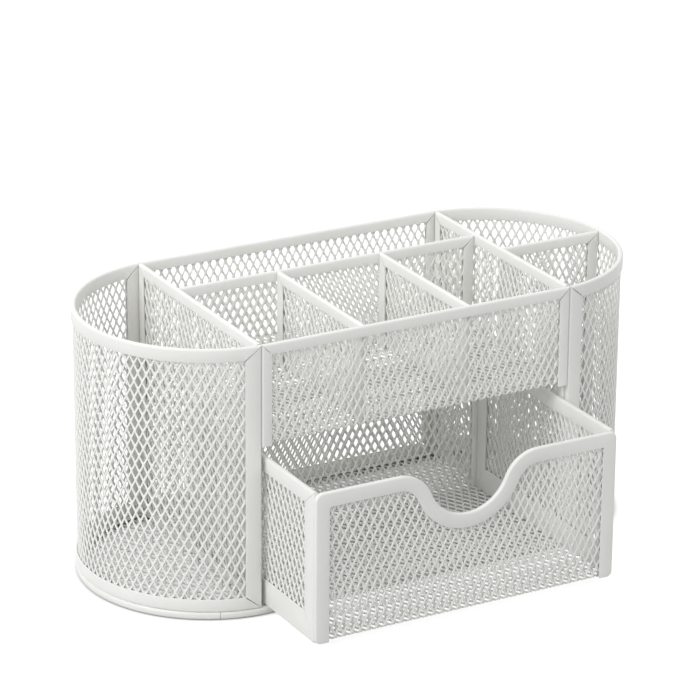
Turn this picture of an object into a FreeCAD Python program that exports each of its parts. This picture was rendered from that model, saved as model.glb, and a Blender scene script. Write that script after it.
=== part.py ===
"""Desk pen stand with a drawer, in white coated expanded steel sheet.

The stand is a square box between two round-fronted pen cups. The box holds a shallow tray
of small compartments over a bay for one drawer. Every wall is a sheet of expanded metal
whose edges are closed in by folded steel strips, mitred where two strips meet.

Frame: +Z up, -Y is the front where the drawer pulls out, origin at the centre of the base
on the surface that the stand rests on. Lengths are in millimetres.
"""
import FreeCAD
import Part
import Sketcher

import os

# Driving dimensions, one row of the sheet each.
SIZES = [
    ("box_width", 131.0, "box between the two cups, over its side walls"),
    ("depth", 100.0, "front to back"),
    ("height", 105.0, "from the table to the top rails"),
    ("cup_overlap", 1.1, "how far each cup's edges reach over the ends of its side wall"),
    ("cup_bulge", 46.2, "how far each cup stands out from its edges"),
    ("sheet_gauge", 0.8, "thickness of the expanded sheet"),
    ("fold_gauge", 0.5, "thickness of the metal in the folded strips"),
    ("slot_play", 0.1, "room on each side of a sheet inside its strip"),
    ("cup_edging", 5.0, "width of the strips along the top and foot of the cups"),
    ("cup_stile", 5.9, "width of the upright strips of the cups"),
    ("box_edging", 4.0, "width of the strips of the box walls"),
    ("tray_stile", 4.0, "width of the upright strips of the tray's front"),
    ("divider_stile", 4.5, "width of the upright strips of the dividers"),
    ("lip_height", 3.0, "height of the strip around the base"),
    ("lip_reach", 3.5, "how far the base strip reaches in under the walls"),
    ("tray_skirt", 0.2, "how far the tray's front strips reach below its floor"),
    ("rear_compartment", 28.8, "clear depth of the slot behind the rear divider"),
    ("middle_compartment", 42.0, "clear width between the two cross dividers"),
    ("divider_drop", 0.5, "how far the dividers stay below the top rails"),
    ("divider_play", 0.1, "room between a divider and the walls beside it"),
    ("bend", 0.5, "inside radius where a sheet is bent"),
    ("grid_pitch", 13.0, "least step between the openings of a sheet, sideways"),
    ("grid_row", 18.0, "least step between the openings of a sheet, lengthwise"),
    ("grid_strand", 4.0, "sheet left between the side corners of two openings"),
    ("grid_bond", 5.5, "sheet left between the end corners of two openings"),
    ("grid_rim", 1.0, "plain sheet between the openings and the strips around them"),
    ("drawer_height", 58.0, "height of the drawer"),
    ("drawer_side_play", 0.8, "room between the drawer and each side wall"),
    ("drawer_rear_play", 1.0, "room behind the closed drawer"),
    ("drawer_lift", 0.3, "running gap between the drawer and the base strip"),
    ("drawer_headroom", 5.0, "room between the drawer and the tray floor above it"),
    ("drawer_pull", 37.0, "how far the drawer stands open at rest"),
    ("drawer_edging", 5.6, "width of the strips along the drawer's front and top"),
    ("drawer_skirting", 10.0, "height of the strips along the foot of the drawer's sides"),
    ("drawer_stile", 6.5, "width of the upright strips of the drawer's sides"),
    ("drawer_corner", 3.0, "radius of the front frame's upper corners"),
    ("finger_reach", 29.0, "from the drawer's middle to where the finger notch begins"),
    ("finger_depth", 19.6, "depth of the finger notch"),
    ("finger_shoulder", 14.5, "radius at each shoulder of the finger notch"),
]

# Lengths that follow from the driving dimensions.
FOLD = "sizes.fold_gauge"
GAUGE = "sizes.sheet_gauge"
SLOT = "(sizes.sheet_gauge + 2 * sizes.slot_play)"
STRIP = "(sizes.sheet_gauge + 2 * sizes.slot_play + 2 * sizes.fold_gauge)"
INSET = "(sizes.slot_play + sizes.fold_gauge)"
BEND = "(sizes.bend + sizes.sheet_gauge)"
HALF_WIDTH = "(sizes.box_width / 2)"
HALF_DEPTH = "(sizes.depth / 2)"
INNER_WIDTH = f"(sizes.box_width - 2 * {STRIP})"
INNER_DEPTH = f"(sizes.depth - 2 * {STRIP})"
WALL_HEIGHT = "(sizes.height - sizes.lip_height)"
SEAM = f"({HALF_WIDTH} - sizes.cup_overlap)"
SEAM_WIDTH = f"(2 * {SEAM})"
CUP_RADIUS = f"(({HALF_DEPTH} ^ 2 + sizes.cup_bulge ^ 2) / (2 * sizes.cup_bulge))"
CUP_SEAM = f"({CUP_RADIUS} - sizes.cup_bulge)"
CUP_CENTRE = f"({SEAM} - {CUP_SEAM})"
CUP_HOLLOW = f"({CUP_RADIUS} - {STRIP})"
SIDE_END = f"(sqrt({CUP_HOLLOW} ^ 2 - ({HALF_WIDTH} - {CUP_CENTRE}) ^ 2) - sizes.divider_play)"
SIDE_LENGTH = f"(2 * {SIDE_END})"
DRAWER_FOOT = "(sizes.lip_height + sizes.drawer_lift)"
TRAY_FLOOR = f"({DRAWER_FOOT} + sizes.drawer_height + sizes.drawer_headroom)"
TRAY_DECK = f"({TRAY_FLOOR} + {GAUGE})"
DIVIDER_HEIGHT = f"(sizes.height - sizes.divider_drop - {TRAY_DECK})"
REAR_DIVIDER_Y = f"({INNER_DEPTH} / 2 - sizes.rear_compartment - {STRIP} / 2)"
CROSS_DIVIDER_X = f"((sizes.middle_compartment + {STRIP}) / 2)"
CROSS_LENGTH = f"({REAR_DIVIDER_Y} + {INNER_DEPTH} / 2 - {STRIP} / 2 - 2 * sizes.divider_play)"
DRAWER_WIDTH = f"({INNER_WIDTH} - 2 * sizes.drawer_side_play)"
DRAWER_DEPTH = f"(sizes.depth - {STRIP} - sizes.drawer_rear_play)"
DRAWER_INNER = f"({DRAWER_WIDTH} - 2 * {STRIP})"
DRAWER_FRONT = f"(-{HALF_DEPTH} - sizes.drawer_pull)"
FINGER_HOLLOW = (
    "((sizes.finger_reach ^ 2 + sizes.finger_depth ^ 2) / (2 * sizes.finger_depth)"
    " - sizes.finger_shoulder)"
)

SPARE = "1"         # how far a cutting outline runs past the material that it cuts
LINE = None         # a straight side of an outline
LEFT = 1            # a curved side that turns left, anticlockwise
RIGHT = -1          # a curved side that turns right, clockwise

doc = FreeCAD.newDocument("pen_stand")
sheet = doc.addObject("Spreadsheet::Sheet", "sizes")
subparts = []


def fill_sheet():
    """Write the driving dimensions into the sheet and name their cells."""
    for row, (alias, size, note) in enumerate(SIZES, start=1):
        sheet.set(f"A{row}", alias)
        sheet.set(f"B{row}", str(size))
        sheet.set(f"C{row}", note)
        sheet.setAlias(f"B{row}", alias)
    doc.recompute()


def number(expression):
    """Today's value of an expression in the sheet's cells."""
    return float(sheet.evalExpression(expression))


def new_body(name, x="0", y="0", z="0", turned=False):
    """The body of one sub-part, its origin held by expressions, turned half round or not."""
    body = doc.addObject("PartDesign::Body", name)
    body.Label = name
    if turned:
        body.Placement = FreeCAD.Placement(
            FreeCAD.Vector(), FreeCAD.Rotation(FreeCAD.Vector(0, 0, 1), 180))
    for axis, expression in zip("xyz", (x, y, z)):
        body.setExpression(f"Placement.Base.{axis}", expression)
    subparts.append(body)
    return body


def new_sketch(body, plane, lift="0"):
    """A sketch on one of the body's own origin planes, raised off it by an expression."""
    sketch = body.newObject("Sketcher::SketchObject", f"{body.Label}_outline")
    for feature in body.Origin.OriginFeatures:
        if feature.Role == plane:
            sketch.AttachmentSupport = [(feature, "")]
    sketch.MapMode = "FlatFace"
    sketch.setExpression("AttachmentOffset.Base.z", lift)
    return sketch


def hold(sketch, kind, where, expression):
    """Hold a distance or a radius of the sketch at an expression."""
    index = sketch.addConstraint(Sketcher.Constraint(kind, *where, number(expression)))
    sketch.setExpression(f"Constraints[{index}]", expression)


def arc_through(start, end, radius, turn):
    """The arc of this radius between two points, with its centre on the side of the turn."""
    chord = end - start
    reach = (radius ** 2 - (chord.Length / 2) ** 2) ** 0.5
    aside = FreeCAD.Vector(-chord.y, chord.x, 0).normalize() * turn
    circle = Part.Circle((start + end) / 2 + aside * reach, FreeCAD.Vector(0, 0, 1), radius)
    first, last = (start, end) if turn == LEFT else (end, start)
    return Part.ArcOfCircle(circle, circle.parameter(first), circle.parameter(last))


def outline(sketch, nodes):
    """A closed outline of straight and curved sides.

    Each node is (x, y) or (x, y, turn, radius) in expressions; the turn and the radius are
    those of the side that runs from this node to the next one.
    """
    full = [node if len(node) == 4 else (*node, LINE, None) for node in nodes]
    spots = [FreeCAD.Vector(number(x), number(y), 0) for x, y, _, _ in full]
    first = sketch.GeometryCount
    ends = []
    for index, (_, _, turn, radius) in enumerate(full):
        start, end = spots[index], spots[(index + 1) % len(spots)]
        if turn is LINE:
            sketch.addGeometry(Part.LineSegment(start, end), False)
        else:
            sketch.addGeometry(arc_through(start, end, number(radius), turn), False)
        ends.append((2, 1) if turn == RIGHT else (1, 2))
    for index, (x, y, turn, radius) in enumerate(full):
        side = first + index
        following = (index + 1) % len(full)
        sketch.addConstraint(Sketcher.Constraint(
            "Coincident", side, ends[index][1], first + following, ends[following][0]))
        hold(sketch, "DistanceX", (-1, 1, side, ends[index][0]), x)
        hold(sketch, "DistanceY", (-1, 1, side, ends[index][0]), y)
        if turn is not LINE:
            hold(sketch, "Radius", (side,), radius)


def add_pad(body, sketch, length, midplane=False):
    """Raise a sketch into a solid."""
    pad = body.newObject("PartDesign::Pad", f"{body.Label}_pad")
    pad.Profile = sketch
    pad.Midplane = midplane
    pad.setExpression("Length", length)
    doc.recompute()


def add_pocket(body, sketch, length, midplane=False, upward=False):
    """Cut a sketch out of the body, make sure that it took something off, and give the cut."""
    before = body.Shape.Volume
    pocket = body.newObject("PartDesign::Pocket", f"{body.Label}_pocket")
    pocket.Profile = sketch
    pocket.Midplane = midplane
    pocket.Reversed = upward
    pocket.setExpression("Length", length)
    doc.recompute()
    if body.Shape.Volume > before - 0.01:
        raise ValueError(f"{body.Label}: a pocket cut nothing")
    return pocket


def repeat(body, pockets, moves):
    """Repeat pockets of the body by two moves, and make sure that the copies cut.

    Each move is (kind, property, axis, step, copies): a LinearPattern along its Direction or
    a PolarPattern about its Axis, with the step and the number of copies in expressions.
    """
    before = body.Shape.Volume
    grid = body.newObject("PartDesign::MultiTransform", f"{body.Label}_grid")
    grid.Originals = pockets
    grid.Refine = False
    patterns = []
    for kind, way, axis, step, copies in moves:
        pattern = body.newObject(f"PartDesign::{kind}", f"{body.Label}_{kind}")
        setattr(pattern, way, axis)
        pattern.Mode = "Spacing"
        pattern.setExpression("Offset", step)
        pattern.setExpression("Occurrences", copies)
        patterns.append(pattern)
    grid.Transformations = patterns
    body.Tip = grid
    doc.recompute()
    if number(" * ".join(move[4] for move in moves)) > 1 and body.Shape.Volume > before - 0.01:
        raise ValueError(f"{body.Label}: a pattern cut nothing")


def steps(low, high, least):
    """How many steps fit a stretch with half a step to spare, and how long each then is."""
    count = f"max(1; floor(({high} - {low}) / {least} - 0.5))"
    return count, f"(({high} - {low}) / ({count} + 0.5))"


def pierce(body, plane, left, low, right, high, lift="0"):
    """Open a window of a flat sheet as a grid of diamonds.

    Every second row is set half a step aside, which leaves slanting strands. The window
    reaches to the strips around it, and a plain rim stays inside it.
    """
    left, low = f"({left} + sizes.grid_rim)", f"({low} + sizes.grid_rim)"
    right, high = f"({right} - sizes.grid_rim)", f"({high} - sizes.grid_rim)"
    columns, pitch = steps(left, right, "sizes.grid_pitch")
    rows, row = steps(low, high, "sizes.grid_row")
    half_width, half_height = f"({pitch} - sizes.grid_strand) / 2", f"({row} - sizes.grid_bond) / 2"
    sketch = new_sketch(body, plane, lift)
    for share in (0.5, 1):
        x, y = f"{left} + {pitch} * {share}", f"{low} + {row} * {share}"
        outline(sketch, diamond(x, y, half_width, half_height))
    pocket = add_pocket(body, sketch, f"2 * {STRIP}", midplane=True)
    repeat(body, [pocket], [("LinearPattern", "Direction", (sketch, ["H_Axis"]), pitch, columns),
                            ("LinearPattern", "Direction", (sketch, ["V_Axis"]), row, rows)])


def diamond(x, y, half_width, half_height):
    """The corners of a diamond about a point."""
    return [(f"{x} - {half_width}", y), (x, f"{y} - {half_height}"),
            (f"{x} + {half_width}", y), (x, f"{y} + {half_height}")]


def plate(name, plane, place, shapes, slots=(), thickness=STRIP):
    """A flat piece about its own mid-plane, with slots in which a sheet stands."""
    body = new_body(name, *place)
    if len(shapes) > 1:
        body.AllowCompound = True
    sketch = new_sketch(body, plane)
    for nodes in shapes:
        outline(sketch, nodes)
    add_pad(body, sketch, thickness, midplane=True)
    if slots:
        sketch = new_sketch(body, plane)
        for nodes in slots:
            outline(sketch, nodes)
        add_pocket(body, sketch, SLOT, midplane=True)
    return body


def rectangle(left, low, right, high):
    """The corners of an upright rectangle."""
    return [(left, low), (right, low), (right, high), (left, high)]


def sheet_panel(name, plane, place, length, tall, stile, rail, foot=None):
    """The flat sheet of a framed panel, which ends against the folds of its strips.

    The foot is the height of the bottom rail, or None where the sheet stands on a floor.
    """
    nodes = rectangle(FOLD, FOLD if foot else "0", f"{length} - {FOLD}", f"{tall} - {FOLD}")
    body = plate(name, plane, place, [nodes], thickness=GAUGE)
    pierce(body, plane, stile, foot or "0", f"({length} - {stile})", f"({tall} - {rail})")


def top_rail(name, plane, place, length, tall, stile, rail):
    """The strip along the top of a panel, mitred at both ends."""
    far = f"{length} - {stile}"
    under = f"{tall} - {rail}"
    plate(
        name, plane, place,
        [[(length, tall), ("0", tall), (stile, under), (far, under)]],
        [rectangle(FOLD, f"{under} - {SPARE}", f"{length} - {FOLD}", f"{tall} - {FOLD}")])


def bottom_rail(name, plane, place, length, stile, rail):
    """The strip along the foot of a panel, mitred at both ends."""
    plate(
        name, plane, place,
        [[("0", "0"), (length, "0"), (f"{length} - {stile}", rail), (stile, rail)]],
        [rectangle(FOLD, FOLD, f"{length} - {FOLD}", f"{rail} + {SPARE}")])


def uprights(names, plane, place, length, tall, stile, rail, foot="0"):
    """The two upright strips of a panel, as two pieces or as one pair.

    The upper ends are mitred to the top rail. The lower ends are mitred to a bottom rail of
    the height given as foot, and are square and open where there is none.
    """
    low = f"-{SPARE}" if foot == "0" else FOLD
    high = f"{tall} - {FOLD}"
    near_shape = [("0", "0"), (stile, foot), (stile, f"{tall} - {rail}"), ("0", tall)]
    near_slot = rectangle(FOLD, low, f"{stile} + {SPARE}", high)
    far = f"{length} - {stile}"
    far_shape = [(length, "0"), (length, tall), (far, f"{tall} - {rail}"), (far, foot)]
    far_slot = rectangle(f"{far} - {SPARE}", low, f"{length} - {FOLD}", high)
    if len(names) == 1:
        plate(names[0], plane, place, [near_shape, far_shape], [near_slot, far_slot])
    else:
        plate(names[0], plane, place, [near_shape], [near_slot])
        plate(names[1], plane, place, [far_shape], [far_slot])


def build_side_wall(side, sign):
    """One side wall of the box, which parts the drawer bay from a cup."""
    place = (f"{sign} * ({HALF_WIDTH} - {STRIP} / 2)", f"-{SIDE_END}", "sizes.lip_height")
    stile = rail = "sizes.box_edging"
    name = f"{side}_side"
    sheet_panel(f"{name}_mesh", "YZ_Plane", place, SIDE_LENGTH, WALL_HEIGHT, stile, rail, foot=rail)
    top_rail(f"{name}_top_rail", "YZ_Plane", place, SIDE_LENGTH, WALL_HEIGHT, stile, rail)
    bottom_rail(f"{name}_bottom_rail", "YZ_Plane", place, SIDE_LENGTH, stile, rail)
    names = (f"{name}_front_upright", f"{name}_rear_upright")
    uprights(names, "YZ_Plane", place, SIDE_LENGTH, WALL_HEIGHT, stile, rail, foot=rail)


def build_rear_wall():
    """The rear wall of the box."""
    place = (f"-{SEAM}", f"{HALF_DEPTH} - {STRIP} / 2", "sizes.lip_height")
    length = SEAM_WIDTH
    stile = rail = "sizes.box_edging"
    sheet_panel("rear_wall_mesh", "XZ_Plane", place, length, WALL_HEIGHT, stile, rail, foot=rail)
    top_rail("rear_wall_top_rail", "XZ_Plane", place, length, WALL_HEIGHT, stile, rail)
    bottom_rail("rear_wall_bottom_rail", "XZ_Plane", place, length, stile, rail)
    uprights(["rear_wall_uprights"], "XZ_Plane", place, length, WALL_HEIGHT, stile, rail, foot=rail)


def notch_for_strips(body, width, stile, fronts):
    """Clear the lower corners of a bent sheet where the upright strips pass it."""
    sketch = new_sketch(body, "XY_Plane")
    for y in fronts:
        for sign in ("-1", "1"):
            edges = sorted((f"{sign} * ({width} / 2 - {stile} - sizes.divider_play)",
                            f"{sign} * ({width} / 2 + {SPARE})"), key=number)
            low = f"{y} - {INSET} - sizes.divider_play"
            high = f"{y} - {INSET} + {STRIP} + sizes.divider_play"
            outline(sketch, rectangle(edges[0], low, edges[1], high))
    add_pocket(body, sketch, f"2 * ({BEND} + sizes.slot_play)", midplane=True)


def build_tray():
    """The tray: its floor and front are one bent sheet, edged in front by strips."""
    top = f"(sizes.height - {FOLD} - {TRAY_FLOOR})"
    length = f"({INNER_DEPTH} + {STRIP} - {INSET})"
    body = new_body("tray_mesh", y=f"-{HALF_DEPTH} + {INSET}", z=TRAY_FLOOR)
    sketch = new_sketch(body, "YZ_Plane")
    outline(sketch, [
        ("0", top), ("0", BEND, LEFT, BEND), (BEND, "0"), (length, "0"), (length, GAUGE),
        (BEND, GAUGE, RIGHT, "sizes.bend"), (GAUGE, BEND), (GAUGE, top),
    ])
    add_pad(body, sketch, INNER_WIDTH, midplane=True)
    stile, rail = "sizes.tray_stile", "sizes.box_edging"
    notch_for_strips(body, SEAM_WIDTH, stile, ["0"])
    half = f"({SEAM} - {stile})"
    pierce(body, "XZ_Plane", f"-{half}", BEND, half, f"({top} + {FOLD} - {rail})")
    half = f"({INNER_WIDTH} / 2)"
    pierce(body, "XY_Plane", f"-{half}", BEND, half, length)

    place = (f"-{SEAM}", f"-{HALF_DEPTH} + {STRIP} / 2", f"{TRAY_FLOOR} - sizes.tray_skirt")
    tall = f"(sizes.height - {TRAY_FLOOR} + sizes.tray_skirt)"
    top_rail("tray_front_rail", "XZ_Plane", place, SEAM_WIDTH, tall, stile, rail)
    uprights(["tray_front_uprights"], "XZ_Plane", place, SEAM_WIDTH, tall, stile, rail)


def build_divider(name, plane, place, length, tall):
    """An upright divider that stands on a floor, with a strip on its top and both ends."""
    stile, rail = "sizes.divider_stile", "sizes.box_edging"
    sheet_panel(f"{name}_mesh", plane, place, length, tall, stile, rail)
    top_rail(f"{name}_rail", plane, place, length, tall, stile, rail)
    uprights([f"{name}_uprights"], plane, place, length, tall, stile, rail)


def build_dividers():
    """The dividers of the tray and the one in the right cup."""
    length = f"({INNER_WIDTH} - 2 * sizes.divider_play)"
    build_divider(
        "rear_divider", "XZ_Plane", (f"-{length} / 2", REAR_DIVIDER_Y, TRAY_DECK), length, DIVIDER_HEIGHT)
    start = f"-{INNER_DEPTH} / 2 + sizes.divider_play"
    for side, sign in (("left", "-1"), ("right", "1")):
        place = (f"{sign} * {CROSS_DIVIDER_X}", start, TRAY_DECK)
        build_divider(f"{side}_cross_divider", "YZ_Plane", place, CROSS_LENGTH, DIVIDER_HEIGHT)
    reach = f"({CUP_CENTRE} + {CUP_HOLLOW} - {HALF_WIDTH} - sizes.divider_play)"
    tall = "(sizes.height - sizes.divider_drop - sizes.lip_height)"
    build_divider("right_cup_divider", "XZ_Plane", (HALF_WIDTH, "0", "sizes.lip_height"), reach, tall)


def across(radius, x):
    """How far a circle about the origin reaches sideways at this x."""
    return f"sqrt({radius} ^ 2 - ({x}) ^ 2)"


def cup_wall(near, outer, inner):
    """The whole curved wall of a cup in plan, from the line x = near outwards."""
    return [
        (near, f"-{across(outer, near)}", LEFT, outer), (near, across(outer, near)),
        (near, across(inner, near), RIGHT, inner), (near, f"-{across(inner, near)}"),
    ]


def cup_wall_end(near, far, outer, inner, side):
    """The end of a cup's wall in plan, between two lines, on one side of the cup."""
    sign = "-" if side < 0 else ""
    way, back = (LEFT, RIGHT) if side < 0 else (RIGHT, LEFT)
    return [
        (near, sign + across(outer, near), way, outer), (far, sign + across(outer, far)),
        (far, sign + across(inner, far), back, inner), (near, sign + across(inner, near)),
    ]


def mitre_cup(body, level, rise, whole_width):
    """Cut the end of a cup strip along the diagonal between its rail and its upright.

    The diagonal starts at the seam at this level and runs inwards by one upright's width,
    rising by the given amount. A rail loses the seam side of it, an upright the other side.
    """
    before = f"({CUP_SEAM} - sizes.cup_stile / 2)"
    after = f"({CUP_SEAM} + 3 * sizes.cup_stile / 2)"
    start = f"({level} - ({rise}) / 2)"
    finish = f"({level} + 3 * ({rise}) / 2)"
    corner = (before, finish) if whole_width else (after, start)
    sketch = new_sketch(body, "XZ_Plane")
    outline(sketch, [(before, start), (after, finish), corner])
    add_pocket(body, sketch, "2 * sizes.depth", midplane=True)


def pierce_cup(body):
    """Open a cup's sheet as a grid of diamonds, cut square to the curve.

    The steps around the curve are in degrees, and the first opening is the one nearest -Y.
    """
    degree = f"({CUP_RADIUS} * pi / 180)"
    rim = f"(sizes.grid_rim / {degree})"
    edge = f"(acos(({CUP_SEAM} + sizes.cup_stile) / {CUP_RADIUS}) / 1 deg - {rim})"
    low = "(sizes.cup_edging + sizes.grid_rim)"
    high = f"({WALL_HEIGHT} - sizes.cup_edging - sizes.grid_rim)"
    columns, turn = steps(f"(-{edge})", edge, f"(sizes.grid_pitch / {degree})")
    rows, row = steps(low, high, "sizes.grid_row")
    half_width = f"({turn} * {degree} - sizes.grid_strand) / 2"
    half_height = f"({row} - sizes.grid_bond) / 2"
    axis = next(item for item in body.Origin.OriginFeatures if item.Role == "Z_Axis")
    pockets = []
    for share in (0.5, 1):
        angle = f"({turn} * {share} - {edge})"
        sketch = new_sketch(body, "YZ_Plane", lift=f"{CUP_RADIUS} * cos({angle} * 1 deg)")
        sketch.AttachmentOffset = FreeCAD.Placement(
            sketch.AttachmentOffset.Base, FreeCAD.Rotation(FreeCAD.Vector(0, 1, 0), 1))
        sketch.setExpression("AttachmentOffset.Base.x", f"{CUP_RADIUS} * sin({angle} * 1 deg)")
        sketch.setExpression("AttachmentOffset.Rotation.Angle", angle)
        outline(sketch, diamond("0", f"{low} + {row} * {share}", half_width, half_height))
        pockets.append(add_pocket(body, sketch, f"2 * {STRIP}"))
    repeat(body, pockets, [("LinearPattern", "Direction", (sketch, ["V_Axis"]), row, rows),
                           ("PolarPattern", "Axis", (axis, [""]), turn, columns)])


def build_cup(side, sign, turned):
    """One pen cup: a curved sheet in a rim, a bottom rail and two uprights."""
    x = f"{sign} * {CUP_CENTRE}"
    edging, stile, tall = "sizes.cup_edging", "sizes.cup_stile", WALL_HEIGHT
    inner = CUP_HOLLOW
    slot_outer, slot_inner = f"({CUP_RADIUS} - {FOLD})", f"({CUP_RADIUS} - {STRIP} + {FOLD})"
    mesh_outer, mesh_inner = f"({CUP_RADIUS} - {INSET})", f"({CUP_RADIUS} - {STRIP} + {INSET})"
    seam, sheet_seam = CUP_SEAM, f"({CUP_SEAM} + {FOLD})"

    body = new_body(f"{side}_cup_mesh", x=x, z="sizes.lip_height", turned=turned)
    sketch = new_sketch(body, "XY_Plane", lift=FOLD)
    outline(sketch, cup_wall(sheet_seam, mesh_outer, mesh_inner))
    add_pad(body, sketch, f"{tall} - 2 * {FOLD}")
    pierce_cup(body)

    for name, foot, slot_foot, level, rise in (
            ("top_rim", f"{tall} - {edging}", f"{tall} - {edging} - {FOLD}", tall, f"-{edging}"),
            ("bottom_rail", "0", FOLD, "0", edging)):
        body = new_body(f"{side}_cup_{name}", x=x, z="sizes.lip_height", turned=turned)
        sketch = new_sketch(body, "XY_Plane", lift=foot)
        outline(sketch, cup_wall(seam, CUP_RADIUS, inner))
        add_pad(body, sketch, edging)
        sketch = new_sketch(body, "XY_Plane", lift=slot_foot)
        outline(sketch, cup_wall(sheet_seam, slot_outer, slot_inner))
        add_pocket(body, sketch, edging, upward=True)
        mitre_cup(body, level, rise, whole_width=True)

    front = 1 if turned else -1
    for name, way in (("front_upright", front), ("rear_upright", -front)):
        body = new_body(f"{side}_cup_{name}", x=x, z="sizes.lip_height", turned=turned)
        sketch = new_sketch(body, "XY_Plane")
        outline(sketch, cup_wall_end(seam, f"{seam} + {stile}", CUP_RADIUS, inner, way))
        add_pad(body, sketch, tall)
        sketch = new_sketch(body, "XY_Plane", lift=FOLD)
        slot_far = f"{seam} + {stile} + {SPARE}"
        outline(sketch, cup_wall_end(sheet_seam, slot_far, slot_outer, slot_inner, way))
        add_pocket(body, sketch, f"{tall} - 2 * {FOLD}", upward=True)
        mitre_cup(body, tall, f"-{edging}", whole_width=False)
        mitre_cup(body, "0", edging, whole_width=False)


def footprint(inset):
    """The outline of the base, drawn in from its edge by an inset."""
    radius = f"({CUP_RADIUS} - {inset})"
    y = f"({HALF_DEPTH} - {inset})"
    x = f"({CUP_CENTRE} + sqrt({radius} ^ 2 - {y} ^ 2))"
    return [(f"-{x}", f"-{y}"), (x, f"-{y}", LEFT, radius), (x, y), (f"-{x}", y, LEFT, radius)]


def build_base():
    """The floor sheet of the whole stand and the strip folded around its edge."""
    body = new_body("base_mesh", z="sizes.lip_height / 2")
    sketch = new_sketch(body, "XY_Plane")
    outline(sketch, footprint(FOLD))
    add_pad(body, sketch, GAUGE, midplane=True)
    half = f"({HALF_DEPTH} - sizes.lip_reach)"
    pierce(body, "XY_Plane", f"-{CUP_CENTRE}", f"-{half}", CUP_CENTRE, half)
    half = f"(({CUP_RADIUS} - sizes.lip_reach) / sqrt(2))"
    pierce(body, "XY_Plane", f"(-{CUP_CENTRE} - {half})", f"-{half}", f"(-{CUP_CENTRE})", half)
    pierce(body, "XY_Plane", CUP_CENTRE, f"-{half}", f"({CUP_CENTRE} + {half})", half)

    body = new_body("base_rim", z="sizes.lip_height / 2")
    sketch = new_sketch(body, "XY_Plane")
    outline(sketch, footprint("0"))
    outline(sketch, footprint("sizes.lip_reach"))
    add_pad(body, sketch, "sizes.lip_height", midplane=True)
    sketch = new_sketch(body, "XY_Plane")
    outline(sketch, footprint(FOLD))
    add_pocket(body, sketch, SLOT, midplane=True)


def front_edge(inset):
    """The top edge of the drawer's front with its finger notch, drawn in by an inset.

    It runs from the left side to the right side of the drawer, and its corners are round
    where the inset leaves room for that.
    """
    top = f"(sizes.drawer_height - {inset})"
    middle = f"({DRAWER_WIDTH} / 2)"
    shoulder = f"(sizes.finger_shoulder - {inset})"
    hollow = f"({FINGER_HOLLOW} + {inset})"
    share = f"({shoulder} / ({FINGER_HOLLOW} + sizes.finger_shoulder))"
    reach = "sizes.finger_reach"
    rise = f"(({FINGER_HOLLOW} + sizes.finger_shoulder - sizes.finger_depth) * {share})"
    turn_y = f"(sizes.drawer_height - sizes.finger_shoulder + {rise})"
    notch = [
        (f"{middle} - {reach}", top, RIGHT, shoulder),
        (f"{middle} - {reach} * (1 - {share})", turn_y, LEFT, hollow),
        (f"{middle} + {reach} * (1 - {share})", turn_y, RIGHT, shoulder),
        (f"{middle} + {reach}", top),
    ]
    radius = f"(sizes.drawer_corner - {inset})"
    if number(radius) > 0:
        corner = "sizes.drawer_corner"
        level = f"(sizes.drawer_height - {corner})"
        start = [(inset, level, RIGHT, radius), (corner, top)]
        end = [(f"{DRAWER_WIDTH} - {corner}", top, RIGHT, radius), (f"{DRAWER_WIDTH} - {inset}", level)]
    else:
        start = [(inset, top)]
        end = [(f"{DRAWER_WIDTH} - {inset}", top)]
    return start + notch + end


def reversed_path(nodes):
    """The same open path walked the other way."""
    full = [node if len(node) == 4 else (*node, LINE, None) for node in nodes]
    path = []
    for index in range(len(full) - 1, -1, -1):
        x, y = full[index][:2]
        turn, radius = full[index - 1][2:] if index else (LINE, None)
        path.append((x, y, turn if turn is LINE else -turn, radius))
    return path


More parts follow.
